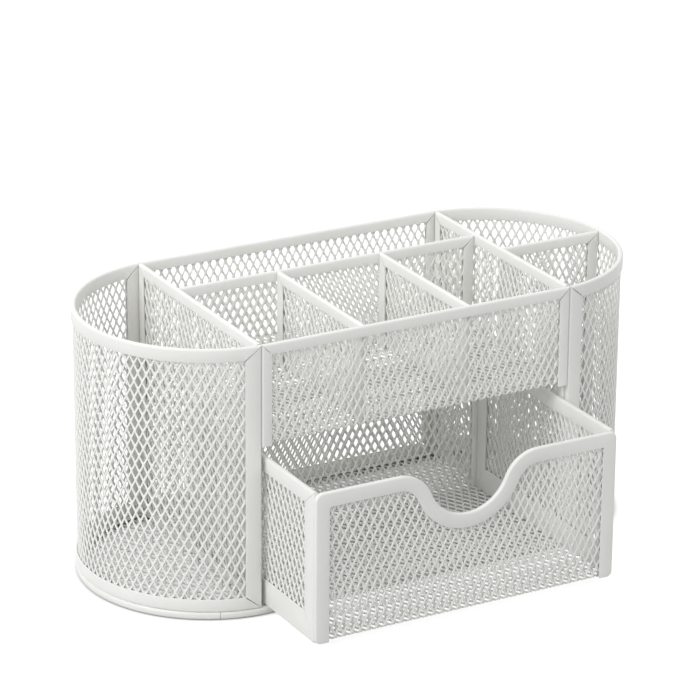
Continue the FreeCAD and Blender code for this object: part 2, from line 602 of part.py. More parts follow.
def build_drawer_basket():
    """The front, floor and back of the drawer, bent from one sheet."""
    top = f"(sizes.drawer_height - {FOLD})"
    length = f"({DRAWER_DEPTH} - 2 * {INSET})"
    body = new_body("drawer_basket_mesh", y=f"{DRAWER_FRONT} + {INSET}", z=DRAWER_FOOT)
    sketch = new_sketch(body, "YZ_Plane")
    outline(sketch, [
        ("0", top), ("0", BEND, LEFT, BEND), (BEND, "0"),
        (f"{length} - {BEND}", "0", LEFT, BEND), (length, BEND), (length, top),
        (f"{length} - {GAUGE}", top), (f"{length} - {GAUGE}", BEND, RIGHT, "sizes.bend"),
        (f"{length} - {BEND}", GAUGE), (BEND, GAUGE, RIGHT, "sizes.bend"), (GAUGE, BEND), (GAUGE, top),
    ])
    add_pad(body, sketch, DRAWER_INNER, midplane=True)

    sketch = new_sketch(body, "XZ_Plane")
    half = f"{DRAWER_WIDTH} / 2"
    edge = [(f"{node[0]} - {half}", *node[1:]) for node in front_edge(FOLD)]
    first, last = edge[0], edge[-1]
    above = f"sizes.drawer_height + {SPARE}"
    outline(sketch, edge + [
        (f"{half} + {SPARE}", last[1]), (f"{half} + {SPARE}", above),
        (f"-{half} - {SPARE}", above), (f"-{half} - {SPARE}", first[1]),
    ])
    add_pocket(body, sketch, f"2 * {STRIP}", midplane=True)

    stile = "sizes.drawer_edging"
    notch_for_strips(body, DRAWER_WIDTH, stile, ["0"])
    notch_for_strips(body, DRAWER_WIDTH, "sizes.box_edging", [f"({length} + 2 * {INSET} - {STRIP})"])

    half = f"({DRAWER_WIDTH} / 2 - {stile})"
    under = f"(sizes.drawer_height - {stile})"
    below = f"({under} - sizes.finger_depth)"
    reach = "(sizes.finger_reach + sizes.grid_rim)"
    pierce(body, "XZ_Plane", f"-{half}", BEND, half, below)
    pierce(body, "XZ_Plane", f"-{half}", below, f"(-{reach})", under)
    pierce(body, "XZ_Plane", reach, below, half, under)
    half = f"({DRAWER_WIDTH} / 2 - sizes.box_edging)"
    pierce(body, "XZ_Plane", f"-{half}", BEND, half, under, lift=f"-{length}")
    half = f"({DRAWER_INNER} / 2)"
    pierce(body, "XY_Plane", f"-{half}", BEND, half, f"({length} - {BEND})")


def build_drawer_front():
    """The strip that frames the drawer's front and dips with the finger notch."""
    place = (f"-{DRAWER_WIDTH} / 2", f"{DRAWER_FRONT} + {STRIP} / 2", DRAWER_FOOT)
    edging = "sizes.drawer_edging"
    outer = [("0", "0")] + front_edge("0") + [(DRAWER_WIDTH, "0")]
    inner = [(edging, "0")] + front_edge(edging) + [(f"{DRAWER_WIDTH} - {edging}", "0")]
    slot = [(FOLD, f"-{SPARE}")] + front_edge(FOLD) + [(f"{DRAWER_WIDTH} - {FOLD}", f"-{SPARE}")]
    plate("drawer_front_frame", "XZ_Plane", place, [outer + reversed_path(inner)], [slot])


def build_drawer_sides():
    """The two sides of the drawer, each a sheet in four strips with a tall bottom one."""
    length = f"({DRAWER_DEPTH} - 2 * {STRIP})"
    tall, stile = "sizes.drawer_height", "sizes.drawer_stile"
    for side, sign in (("left", "-1"), ("right", "1")):
        name = f"drawer_{side}"
        x = f"{sign} * ({DRAWER_WIDTH} - {STRIP}) / 2"
        place = (x, f"{DRAWER_FRONT} + {STRIP}", DRAWER_FOOT)
        sheet_panel(f"{name}_mesh", "YZ_Plane", place, length, tall, stile, "sizes.drawer_edging",
                    foot="sizes.drawer_skirting")
        top_rail(f"{name}_top_rail", "YZ_Plane", place, length, tall, stile, "sizes.drawer_edging")
        bottom_rail(f"{name}_bottom_rail", "YZ_Plane", place, length, stile, "sizes.drawer_skirting")
        names = (f"{name}_front_upright", f"{name}_rear_upright")
        uprights(names, "YZ_Plane", place, length, tall, stile, "sizes.drawer_edging",
                 foot="sizes.drawer_skirting")


def build_drawer_rear():
    """The strips on the back of the drawer's basket."""
    place = (f"-{DRAWER_WIDTH} / 2", f"{DRAWER_FRONT} + {DRAWER_DEPTH} - {STRIP} / 2", DRAWER_FOOT)
    stile, rail = "sizes.box_edging", "sizes.drawer_edging"
    tall = "sizes.drawer_height"
    top_rail("drawer_rear_top_rail", "XZ_Plane", place, DRAWER_WIDTH, tall, stile, rail)
    uprights(["drawer_rear_uprights"], "XZ_Plane", place, DRAWER_WIDTH, tall, stile, rail)


def check_everything():
    """Stop if anything in the document failed or has no sound shape."""
    doc.recompute()
    for item in doc.Objects:
        if "Invalid" in item.State or "Error" in item.State:
            raise ValueError(f"{item.Label} did not build")
    for part in subparts:
        if part.Shape.isNull() or not part.Shape.isValid():
            raise ValueError(f"{part.Label} has no sound shape")


def export_parts():
    """Write each sub-part to a file of its own."""
    os.makedirs("parts", exist_ok=True)
    for part in subparts:
        part.Shape.exportStep(f"parts/{part.Label}.step")


fill_sheet()
build_base()
for side, sign, turned in (("left", "-1", True), ("right", "1", False)):
    build_cup(side, sign, turned)
    build_side_wall(side, sign)
build_rear_wall()
build_tray()
build_dividers()
build_drawer_basket()
build_drawer_front()
build_drawer_sides()
build_drawer_rear()
check_everything()
export_parts()
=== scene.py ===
"""The look of the pen stand with a drawer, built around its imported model.

Every wall and floor becomes a net of expanded steel, and every edge of it a folded strip with
a rounded back. Each piece is first laid out flat on a wall of its own, in millimetres: u runs
along the wall, v across it and w off it. The wall then carries it to its place in metres.
"""

import logging
import math
from collections.abc import Sequence
from dataclasses import dataclass, field
from enum import Enum
from functools import cached_property

import bmesh
import bpy
from mathutils import Matrix, Vector


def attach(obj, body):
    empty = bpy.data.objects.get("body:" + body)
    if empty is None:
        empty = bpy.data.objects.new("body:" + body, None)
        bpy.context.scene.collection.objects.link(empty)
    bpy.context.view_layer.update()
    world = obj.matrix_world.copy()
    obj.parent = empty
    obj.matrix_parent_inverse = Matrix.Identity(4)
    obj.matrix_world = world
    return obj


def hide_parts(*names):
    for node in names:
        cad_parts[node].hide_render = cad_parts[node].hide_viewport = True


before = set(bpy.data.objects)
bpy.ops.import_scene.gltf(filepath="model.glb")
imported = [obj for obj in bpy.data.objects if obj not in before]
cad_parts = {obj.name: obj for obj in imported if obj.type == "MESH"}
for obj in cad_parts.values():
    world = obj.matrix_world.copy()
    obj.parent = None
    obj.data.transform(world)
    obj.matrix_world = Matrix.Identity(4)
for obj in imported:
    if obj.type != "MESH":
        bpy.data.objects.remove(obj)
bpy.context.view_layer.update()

MM = 0.001
TOLERANCE = 1e-3
CUT_DISTANCE = 1e-5
WELD_DISTANCE = 1e-4
# The widest turn between two rings of a sweep, in degrees.
RING_ANGLE = 15.0
# How far a corner notch reaches past a bend, up the wall and in over the floor.
NOTCH_UP, NOTCH_IN = 0.1, 0.3
ASIDE, BACK, UP = (1.0, 0.0, 0.0), (0.0, 1.0, 0.0), (0.0, 0.0, 1.0)
LOG = logging.getLogger("pen_stand")

STAND = "stand"
DRAWER = "drawer"


class Side(Enum):
    """A side of the stand, seen from the front."""

    LEFT = -1
    RIGHT = 1

    @property
    def word(self) -> str:
        """The side's name, as the nodes use it."""
        return self.name.lower()


class Edge(Enum):
    """The edge of a panel that a strip closes in."""

    TOP = "top"
    FOOT = "foot"
    NEAR = "near"
    FAR = "far"


# ------------------------------------------------------------------------------- finishes


@dataclass(frozen=True)
class PowderCoat:
    """White powder coat on steel: satin, with a faint orange peel and uneven tone."""

    name: str
    slot: str
    tone: tuple[float, float, float]
    shade: tuple[float, float, float]
    roughness: float = 0.40
    roughness_spread: float = 0.10
    cloud_scale: float = 45.0
    grain_scale: float = 600.0
    peel_scale: float = 1100.0
    peel_depth: float = 0.00003
    peel_strength: float = 0.3
    gloss: float = 0.1
    gloss_roughness: float = 0.3
    noise_middle: tuple[float, float] = (0.32, 0.68)

    @cached_property
    def material(self) -> bpy.types.Material:
        """The node material, made once."""
        coat = bpy.data.materials.new(self.name)
        coat.use_nodes = True
        tree = coat.node_tree
        shader = tree.nodes["Principled BSDF"]
        shader.inputs["IOR"].default_value = 1.5
        shader.inputs["Coat Weight"].default_value = self.gloss
        shader.inputs["Coat Roughness"].default_value = self.gloss_roughness

        colour = tree.nodes.new("ShaderNodeMix")
        colour.data_type = "RGBA"
        colour.inputs["A"].default_value = (*self.shade, 1.0)
        colour.inputs["B"].default_value = (*self.tone, 1.0)
        cloud = self._noise(tree, self.cloud_scale, 3.0)
        tree.links.new(self._spread(tree, cloud, 0.0, 1.0), colour.inputs["Factor"])
        tree.links.new(colour.outputs["Result"], shader.inputs["Base Color"])

        grain = self._noise(tree, self.grain_scale, 2.0)
        low = self.roughness - self.roughness_spread / 2
        high = self.roughness + self.roughness_spread / 2
        tree.links.new(self._spread(tree, grain, low, high), shader.inputs["Roughness"])

        bump = tree.nodes.new("ShaderNodeBump")
        bump.inputs["Strength"].default_value = self.peel_strength
        bump.inputs["Distance"].default_value = self.peel_depth
        tree.links.new(self._noise(tree, self.peel_scale, 1.0), bump.inputs["Height"])
        tree.links.new(bump.outputs["Normal"], shader.inputs["Normal"])
        return coat

    @staticmethod
    def _noise(tree: bpy.types.NodeTree, scale: float, detail: float) -> bpy.types.NodeSocket:
        """Add a noise on Object coordinates.

        Args:
            tree: The material's node tree.
            scale: Scale of the noise, per metre.
            detail: Its number of octaves.

        Returns:
            The socket with its value.
        """
        place = tree.nodes.new("ShaderNodeTexCoord")
        noise = tree.nodes.new("ShaderNodeTexNoise")
        noise.inputs["Scale"].default_value = scale
        noise.inputs["Detail"].default_value = detail
        tree.links.new(place.outputs["Object"], noise.inputs["Vector"])
        return noise.outputs["Fac"]

    def _spread(
        self, tree: bpy.types.NodeTree, value: bpy.types.NodeSocket, low: float, high: float
    ) -> bpy.types.NodeSocket:
        """Stretch the middle of a noise over a range.

        Args:
            tree: The material's node tree.
            value: The socket with the noise.
            low: The lowest result.
            high: The highest result.

        Returns:
            The socket with the result.
        """
        spread = tree.nodes.new("ShaderNodeMapRange")
        spread.inputs["From Min"].default_value = self.noise_middle[0]
        spread.inputs["From Max"].default_value = self.noise_middle[1]
        spread.inputs["To Min"].default_value = low
        spread.inputs["To Max"].default_value = high
        tree.links.new(value, spread.inputs["Value"])
        return spread.outputs["Result"]


# Both coats are the same white paint; the net's is made lighter than the edging's as painted light,
# to make up for the shade among its strands.
LIGHTENED_NET_COAT = PowderCoat("white_net_coat", "white_mesh", (0.92, 0.92, 0.89), (0.88, 0.88, 0.85))
EDGE_COAT = PowderCoat(
    "white_edging_coat", "white_edging", (0.89, 0.89, 0.865), (0.86, 0.86, 0.835))


# ---------------------------------------------------------------------------------- paths


@dataclass(frozen=True)
class Leg:
    """A straight stretch of a path."""

    start: tuple[float, float]
    end: tuple[float, float]

    @cached_property
    def length(self) -> float:
        """Length of the stretch."""
        return (Vector(self.end) - Vector(self.start)).length

    def point(self, way: float, inset: float) -> Vector:
        """Find a point beside the stretch.

        Args:
            way: Distance along the stretch.
            inset: Distance to its left.

        Returns:
            The point in the path's plane.
        """
        start = Vector(self.start)
        ahead = (Vector(self.end) - start).normalized()
        return start + ahead * way + Vector((-ahead.y, ahead.x)) * inset

    def rings(self, step: float) -> list[float]:
        """Choose where a sweep along the stretch gets a ring, after its start.

        Args:
            step: The longest distance between two rings of a round stretch.

        Returns:
            Distances along the stretch.
        """
        return [self.length]


@dataclass(frozen=True)
class Turn:
    """A round stretch of a path, between two angles in degrees about its centre."""

    centre: tuple[float, float]
    radius: float
    start: float
    end: float

    @cached_property
    def length(self) -> float:
        """Length of the stretch."""
        return self.radius * math.radians(abs(self.end - self.start))

    def point(self, way: float, inset: float) -> Vector:
        """Find a point beside the stretch.

        Past its centre, a left turn leaves the sharp corner where its two neighbours meet.

        Args:
            way: Distance along the stretch.
            inset: Distance to its left.

        Returns:
            The point in the path's plane.
        """
        centre = Vector(self.centre)
        arm = self._arm(self.start + (self.end - self.start) * way / self.length)
        if self.end < self.start:
            return centre + arm * (self.radius + inset)
        if inset <= self.radius:
            return centre + arm * (self.radius - inset)
        first, last = self._arm(self.start), self._arm(self.end)
        return centre + (first + last) * ((self.radius - inset) / (1 + first.dot(last)))

    def rings(self, step: float) -> list[float]:
        """Choose where a sweep along the stretch gets a ring, after its start.

        Args:
            step: The longest distance between two rings of a round stretch.

        Returns:
            Distances along the stretch.
        """
        by_angle = math.ceil(abs(self.end - self.start) / RING_ANGLE)
        count = max(2, math.ceil(self.length / step), by_angle)
        return [self.length * index / count for index in range(1, count + 1)]

    @staticmethod
    def _arm(degrees: float) -> Vector:
        """Point an arm of length one.

        Args:
            degrees: Its angle.

        Returns:
            The arm in the path's plane.
        """
        return Vector((math.cos(math.radians(degrees)), math.sin(math.radians(degrees))))


@dataclass(frozen=True)
class Path:
    """A line in a plane, made of straight and round stretches, with the inside on its left."""

    stretches: tuple[Leg | Turn, ...]

    @cached_property
    def length(self) -> float:
        """Length of the whole path."""
        return sum(stretch.length for stretch in self.stretches)

    def point(self, way: float, inset: float = 0.0) -> Vector:
        """Find a point beside the path.

        Where two stretches meet, a round one says how the corner is drawn.

        Args:
            way: Distance along the path.
            inset: Distance to its left.

        Returns:
            The point in the path's plane.
        """
        for stretch, following in zip(self.stretches, self.stretches[1:] + (None,)):
            left = stretch.length - way
            at_end = abs(left) < TOLERANCE and isinstance(stretch, Turn)
            if left > TOLERANCE or at_end or following is None:
                return stretch.point(way, inset)
            way = max(0.0, -left)
        raise ValueError("the path has no stretches")

    def rings(self, step: float) -> list[float]:
        """Choose where a sweep along the path gets a ring.

        Args:
            step: The longest distance between two rings of a round stretch.

        Returns:
            Distances along the path, from its start to its end.
        """
        rings, start = [0.0], 0.0
        for stretch in self.stretches:
            rings += [start + way for way in stretch.rings(step)]
            start += stretch.length
        return rings


# ---------------------------------------------------------------------------------- walls


class Wall:
    """A surface on which pieces are laid out flat."""

    def at(self, u: float, v: float, w: float) -> Vector:
        """Carry a point of the flat layout to its place.

        Args:
            u: Distance along the wall.
            v: Distance across the wall.
            w: Distance off the middle of the wall.

        Returns:
            The point in the model's frame, in millimetres.
        """
        raise NotImplementedError

    def carry(self, mesh: bmesh.types.BMesh) -> None:
        """Carry a whole flat mesh to its place, in metres.

        Args:
            mesh: The mesh, whose points are (u, v, w).
        """
        for point in mesh.verts:
            point.co = self.at(*point.co) * MM


@dataclass(frozen=True)
class FlatWall(Wall):
    """A plane with an origin and two directions."""

    origin: tuple[float, float, float]
    along: tuple[float, float, float]
    up: tuple[float, float, float]

    def at(self, u: float, v: float, w: float) -> Vector:
        """Carry a point of the flat layout to its place."""
        along, up = Vector(self.along), Vector(self.up)
        return Vector(self.origin) + along * u + up * v + along.cross(up) * w


@dataclass(frozen=True)
class CupWall(Wall):
    """The round wall of a pen cup: u runs from its front seam to its rear seam."""

    side: Side
    centre: float
    radius: float
    half_angle: float
    foot: float

    @property
    def length(self) -> float:
        """Length of the wall along its middle."""
        return 2 * self.half_angle * self.radius

    def at(self, u: float, v: float, w: float) -> Vector:
        """Carry a point of the flat layout to its place."""
        angle = u / self.radius - self.half_angle
        x = self.centre + (self.radius + w) * math.cos(angle)
        return Vector((self.side.value * x, (self.radius + w) * math.sin(angle), self.foot + v))


@dataclass(frozen=True)
class BentWall(Wall):
    """A sheet bent about lines along X: v walks its profile, whose plane is YZ."""

    profile: Path

    def at(self, u: float, v: float, w: float) -> Vector:
        """Carry a point of the flat layout to its place."""
        spot = self.profile.point(v, w)
        return Vector((u, spot.x, spot.y))


@dataclass(frozen=True)
class OutlineWall(Wall):
    """The edge of a flat sheet: u walks its outline and v runs inwards from it."""

    outline: Path
    plane: FlatWall

    def at(self, u: float, v: float, w: float) -> Vector:
        """Carry a point of the flat layout to its place."""
        spot = self.outline.point(u, v)
        return self.plane.at(spot.x, spot.y, w)


# ------------------------------------------------------------------------- net and strips


def bend_lines(profile: Path) -> list[float]:
    """Find where the round stretches of a bent sheet begin, have their middle and end.

    Args:
        profile: The profile of the sheet.

    Returns:
        Distances along the profile.
    """
    lines, start = [], 0.0
    for stretch in profile.stretches:
        if isinstance(stretch, Turn):
            lines += [start, start + stretch.length / 2, start + stretch.length]
        start += stretch.length
    return lines


def cut(
    mesh: bmesh.types.BMesh,
    point: Sequence[float],
    outwards: Sequence[float],
    clear: bool = True,
    faces: Sequence[bmesh.types.BMFace] | None = None,
) -> list[bmesh.types.BMEdge]:
    """Cut a mesh along a plane.

    Args:
        mesh: The mesh.
        point: A point of the plane.
        outwards: The plane's normal, which points at what is removed.
        clear: Whether the outer part is removed.
        faces: The faces to cut, or all of them.

    Returns:
        The edges along the cut.
    """
    if faces is None:
        geometry = mesh.verts[:] + mesh.edges[:] + mesh.faces[:]
    else:
        edges = {edge for face in faces for edge in face.edges}
        points = {point for edge in edges for point in edge.verts}
        geometry = [*points, *edges, *faces]
    result = bmesh.ops.bisect_plane(
        mesh, geom=geometry, dist=CUT_DISTANCE, plane_co=point, plane_no=outwards,
        clear_outer=clear)
    return [part for part in result["geom_cut"] if isinstance(part, bmesh.types.BMEdge)]


@dataclass(frozen=True)
class ExpandedNet:
    """Expanded steel sheet: slanting strands around rows of diamond holes."""

    pitch_along: float = 3.4
    pitch_across: float = 6.4
    strand: float = 0.76
    thickness: float = 0.62
    shoulder: float = 0.15
    corner_pull: float = 0.10

    def lay_out(
        self, length: float, height: float, shift: tuple[float, float]
    ) -> bmesh.types.BMesh:
        """Make a flat rectangle of net.

        Args:
            length: Its length along the wall.
            height: Its height across the wall.
            shift: How far the pattern is moved from the middle of the rectangle.

        Returns:
            The upper half of the net's strands, from the origin.
        """
        mesh = bmesh.new()
        count = math.ceil(length / self.pitch_along + height / self.pitch_across) + 4
        bmesh.ops.create_grid(mesh, x_segments=count, y_segments=count, size=count / math.sqrt(2))
        place = (
            Matrix.Translation((length / 2 + shift[0], height / 2 + shift[1], 0))
            @ Matrix.Diagonal((self.pitch_along / 2, self.pitch_across / 2, 1, 1))
            @ Matrix.Rotation(math.radians(45), 4, "Z")
        )
        bmesh.ops.transform(mesh, matrix=place, verts=mesh.verts)
        far = [
            face for face in mesh.faces
            if abs(face.calc_center_median().x - length / 2) > length / 2 + self.pitch_along
            or abs(face.calc_center_median().y - height / 2) > height / 2 + self.pitch_across
        ]
        bmesh.ops.delete(mesh, geom=far, context="FACES")
        self._open_holes(mesh)
        for point, outwards in (
            ((0, 0, 0), (-1, 0, 0)), ((length, 0, 0), (1, 0, 0)),
            ((0, 0, 0), (0, -1, 0)), ((0, height, 0), (0, 1, 0)),
        ):
            cut(mesh, point, outwards)
        return mesh

    def _open_holes(self, mesh: bmesh.types.BMesh) -> None:
        """Turn a grid of diamonds into strands with round shoulders.

        Args:
            mesh: The grid, whose edges become the strands and whose faces become the holes.
        """
        strands = bmesh.ops.bevel(
            mesh, geom=mesh.edges[:], offset=self.strand / 2 - self.shoulder,
            offset_type="OFFSET", segments=1, profile=0.5, affect="EDGES", material=-1,
            clamp_overlap=False)
        kept = set(strands["faces"])
        holes = [face for face in mesh.faces if face not in kept]
        bmesh.ops.translate(mesh, vec=(0, 0, self.thickness / 2), verts=mesh.verts)
        rims = {edge for face in holes for edge in face.edges}
        bmesh.ops.bisect_edges(mesh, edges=list(rims), cuts=1)
        bmesh.ops.inset_individual(
            mesh, faces=holes, thickness=self.shoulder, depth=0.0, use_even_offset=True)
        for face in holes:
            middle = face.calc_center_median()
            for point in face.verts:
                arm = point.co - middle
                if min(abs(arm.x), abs(arm.y)) < self.shoulder:
                    point.co = middle + arm * (1 - self.corner_pull)
                point.co.z = 0.0
        bmesh.ops.delete(mesh, geom=holes, context="FACES")

    @staticmethod
    def drop_scraps(mesh: bmesh.types.BMesh) -> None:
        """Remove the bits of strand that the cuts have left loose.

        Args:
            mesh: The net, whose largest part stays.
        """
        mesh.verts.index_update()
        seen = bytearray(len(mesh.verts))
        parts = []
        for first in mesh.verts:
            if seen[first.index]:
                continue
            seen[first.index] = 1
            part = [first]
            for point in part:
                for edge in point.link_edges:
                    other = edge.other_vert(point)
                    if not seen[other.index]:
                        seen[other.index] = 1
                        part.append(other)
            parts.append(part)
        parts.sort(key=len)
        scraps = [point for part in parts[:-1] for point in part]
        bmesh.ops.delete(mesh, geom=scraps, context="VERTS")

    @staticmethod
    def close(mesh: bmesh.types.BMesh) -> None:
        """Add the lower half of a flat net and close the ends of its strands.

        Args:
            mesh: The upper half of the net.
        """
        geometry = mesh.verts[:] + mesh.edges[:] + mesh.faces[:]
        bmesh.ops.mirror(mesh, geom=geometry, axis="Z", merge_dist=WELD_DISTANCE)
        ends = [edge for edge in mesh.edges if edge.is_boundary]
        bmesh.ops.holes_fill(mesh, edges=ends, sides=0)
        corners = [edge for edge in mesh.edges if edge.is_boundary]
        bmesh.ops.edgeloop_fill(mesh, edges=corners)

    @staticmethod
    def crease(mesh: bmesh.types.BMesh, lines: Sequence[float]) -> None:
        """Give a flat net an edge along each line where it will be bent.

        Args:
            mesh: The flat net.
            lines: Distances across the wall.
        """
        for line in lines:
            cut(mesh, (0, line, 0), (0, 1, 0), clear=False)

    @staticmethod
    def notch(mesh: bmesh.types.BMesh, left: float, right: float, low: float, high: float) -> None:
        """Cut a small rectangle out of a flat net.

        Args:
            mesh: The flat net.
            left: Where the rectangle begins along the wall.
            right: Where it ends along the wall.
            low: Where it begins across the wall.
            high: Where it ends across the wall.
        """
        around = 4.0

        def near(spare: float) -> list[bmesh.types.BMFace]:
            """The faces whose middle lies in the rectangle, widened by a margin."""
            return [
                face for face in mesh.faces
                if left - spare < face.calc_center_median().x < right + spare
                and low - spare < face.calc_center_median().y < high + spare
            ]

        for point, outwards in (
            ((left, 0, 0), (1, 0, 0)), ((right, 0, 0), (1, 0, 0)),
            ((0, low, 0), (0, 1, 0)), ((0, high, 0), (0, 1, 0)),
        ):
            faces = near(around)
            if faces:
                cut(mesh, point, outwards, clear=False, faces=faces)
        bmesh.ops.delete(mesh, geom=near(0.0), context="FACES")


@dataclass(frozen=True)
class FoldedStrip:
    """A strip of steel folded over an edge, with two lips and a rounded back.

    It is laid out along X from the origin. Its back lies on the X axis, its lips reach
    towards +Y, and Z runs through its gauge.
    """

    reach: float
    gauge: float = 2.0
    metal: float = 0.5
    crown: float = 0.7
    lip_round: float = 0.16
    joint_gap: float = 0.08
    joint_mouth: float = 0.5

    def sweep(self, rings: Sequence[float]) -> bmesh.types.BMesh:
        """Sweep the strip's section through a row of rings.

        Args:
            rings: Distances along the strip, from its start to its end.

        Returns:
            The strip, closed at both ends.
        """
        mesh = bmesh.new()
        outer, inner = self.gauge / 2, self.gauge / 2 - self.metal
        section = [
            (self.reach, -outer), (0, -outer), (0, outer), (self.reach, outer),
            (self.reach, inner), (self.metal, inner), (self.metal, -inner), (self.reach, -inner),
        ]
        corners = [mesh.verts.new((rings[0], y, z)) for y, z in section]
        mesh.faces.new(corners)
        for group, radius, segments in (
            (corners[1:3], self.crown, 4), ((corners[0], corners[3]), self.lip_round, 2),
        ):
            bmesh.ops.bevel(
                mesh, geom=group, offset=radius, offset_type="OFFSET", segments=segments,
                profile=0.5, affect="VERTICES", material=-1, clamp_overlap=True)
        edges = mesh.edges[:]
        for before, after in zip(rings, rings[1:]):
            extruded = bmesh.ops.extrude_edge_only(mesh, edges=edges)["geom"]
            points = [part for part in extruded if isinstance(part, bmesh.types.BMVert)]
            edges = [part for part in extruded if isinstance(part, bmesh.types.BMEdge)]
            bmesh.ops.translate(mesh, vec=(after - before, 0, 0), verts=points)
        bmesh.ops.contextual_create(mesh, geom=edges)
        return mesh

    def mitre(self, mesh: bmesh.types.BMesh, start: float, run: float, end: bool) -> None:
        """Cut one end of a strip along a diagonal and close it.

        The joint is tight at the back of the strip, where the coat fills it, and opens
        towards the lips.

        Args:
            mesh: The strip.
            start: Where the diagonal leaves the strip's back.
            run: How far it gets along the strip before it leaves the lips.
            end: Whether it is the strip's far end, where the diagonal runs backwards.
        """
        way = -1 if end else 1
        spread = math.hypot(run, self.reach) / self.reach / 2
        point = Vector((start + way * self.joint_gap * spread, 0, 0))
        mouth = Vector((start + way * (run + self.joint_mouth * spread), self.reach, 0))
        ahead = mouth - point
        edges = cut(mesh, point, (-way * ahead.y, way * ahead.x, 0))
        bmesh.ops.edgeloop_fill(mesh, edges=edges)


# ------------------------------------------------------------------------------ workshop


@dataclass(frozen=True)
class Workshop:
    """Turns finished meshes into pieces of the scene."""

    body: str
    net: ExpandedNet = ExpandedNet()
    sharp_angle: float = math.radians(38)

    def hang_net(self, mesh: bmesh.types.BMesh, wall: Wall, node: str) -> None:
        """Carry a flat net to its wall as a closed piece.

        Args:
            mesh: The upper half of the net.
            wall: The wall that it belongs to.
            node: The node that it stands for.
        """
        self.net.drop_scraps(mesh)
        self.net.close(mesh)
        wall.carry(mesh)
        bmesh.ops.recalc_face_normals(mesh, faces=mesh.faces)
        if mesh.calc_volume(signed=True) < 0:
            bmesh.ops.reverse_faces(mesh, faces=mesh.faces)
        piece = self._piece(mesh, node.replace("_mesh", "_net"), node, LIGHTENED_NET_COAT)
        for face in piece.data.polygons:
            face.use_smooth = True

    def fit_strip(self, meshes: Sequence[bmesh.types.BMesh], node: str) -> None:
        """Join strips that are already in their places into one piece.

        Args:
            meshes: The strips.
            node: The node that they stand for.
        """
        joined = bmesh.new()
        for mesh in meshes:
            bmesh.ops.remove_doubles(mesh, verts=mesh.verts, dist=WELD_DISTANCE * MM)
            bmesh.ops.recalc_face_normals(mesh, faces=mesh.faces)
            part = bpy.data.meshes.new("part")
            mesh.to_mesh(part)
            mesh.free()
            joined.from_mesh(part)
            bpy.data.meshes.remove(part)
        piece = self._piece(joined, f"{node}_strip", node, EDGE_COAT)
        for face in piece.data.polygons:
            face.use_smooth = True
        piece.data.set_sharp_from_angle(angle=self.sharp_angle)

    def _piece(
        self, mesh: bmesh.types.BMesh, name: str, node: str, finish: PowderCoat
    ) -> bpy.types.Object:
        """Make an object that rides on the body and stands for a node.

        Args:
            mesh: The mesh in the model's frame, which is freed.
            name: The piece's name.
            node: The node that it stands for.
            finish: Its finish.

        Returns:
            The new object.
        """
        data = bpy.data.meshes.new(name)
        mesh.to_mesh(data)
        mesh.free()
        data.materials.append(finish.material)
        piece = bpy.data.objects.new(name, data)
        bpy.context.scene.collection.objects.link(piece)
        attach(piece, self.body)
        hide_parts(node)
        LOG.info("%s: %d faces", name, len(data.polygons))
        return piece


@dataclass(frozen=True)
class FramedPanel:
    """A panel of net on a wall, with folded strips around it."""

    workshop: Workshop
    wall: Wall
    length: float
    tall: float
    stile: float
    rail: float
    foot: float = 0.0
    sheet_foot: float = 0.6
    inset: float = 0.6
    step: float = 0.0
    shift: tuple[float, float] = (0.0, 0.0)
    joint_mouth: float = 0.5

    def net(self, node: str) -> None:
        """Hang the net between the strips.

        Args:
            node: The node that it stands for.
        """
        length = self.length - 2 * self.inset
        height = self.tall - self.inset - self.sheet_foot
        mesh = self.workshop.net.lay_out(length, height, self.shift)
        bmesh.ops.translate(mesh, vec=(self.inset, self.sheet_foot, 0), verts=mesh.verts)
        self.workshop.hang_net(mesh, self.wall, node)

    def strips(self, node: str, *edges: Edge) -> None:
        """Fit the strips of one node.

        Args:
            node: The node that they stand for.
            edges: The edges of the panel that they close in.
        """
        self.workshop.fit_strip([self._strip(edge) for edge in edges], node)

    def four_strips(self, name: str, top: str = "top_rail") -> None:
        """Fit a strip to each edge, as four nodes.

        Args:
            name: What the nodes' names begin with.
            top: What the name of the uppermost one ends with.
        """
        self.strips(f"{name}_{top}", Edge.TOP)
        self.strips(f"{name}_bottom_rail", Edge.FOOT)
        self.strips(f"{name}_front_upright", Edge.NEAR)
        self.strips(f"{name}_rear_upright", Edge.FAR)

    def _strip(self, edge: Edge) -> bmesh.types.BMesh:
        """Make the strip along one edge, in its place.

        Args:
            edge: The edge of the panel.

        Returns:
            The strip in the model's frame.
        """
        level = edge in (Edge.TOP, Edge.FOOT)
        length = self.length if level else self.tall
        reach = {Edge.TOP: self.rail, Edge.FOOT: self.foot}.get(edge, self.stile)
        strip = FoldedStrip(reach, joint_mouth=self.joint_mouth)
        count = max(1, math.ceil(length / self.step)) if level and self.step else 1
        mesh = strip.sweep([length * index / count for index in range(count + 1)])
        if level or self.foot:
            strip.mitre(mesh, 0.0, self.stile if level else self.foot, end=False)
        strip.mitre(mesh, length, self.stile if level else self.rail, end=True)
        for point in mesh.verts:
            along, inwards, off = point.co
            point.co = {
                Edge.TOP: (along, self.tall - inwards, off),
                Edge.FOOT: (along, inwards, off),
                Edge.NEAR: (inwards, along, off),
                Edge.FAR: (self.length - inwards, along, off),
            }[edge]
        self.wall.carry(mesh)
        return mesh


# -------------------------------------------------------------------------- sub-assemblies


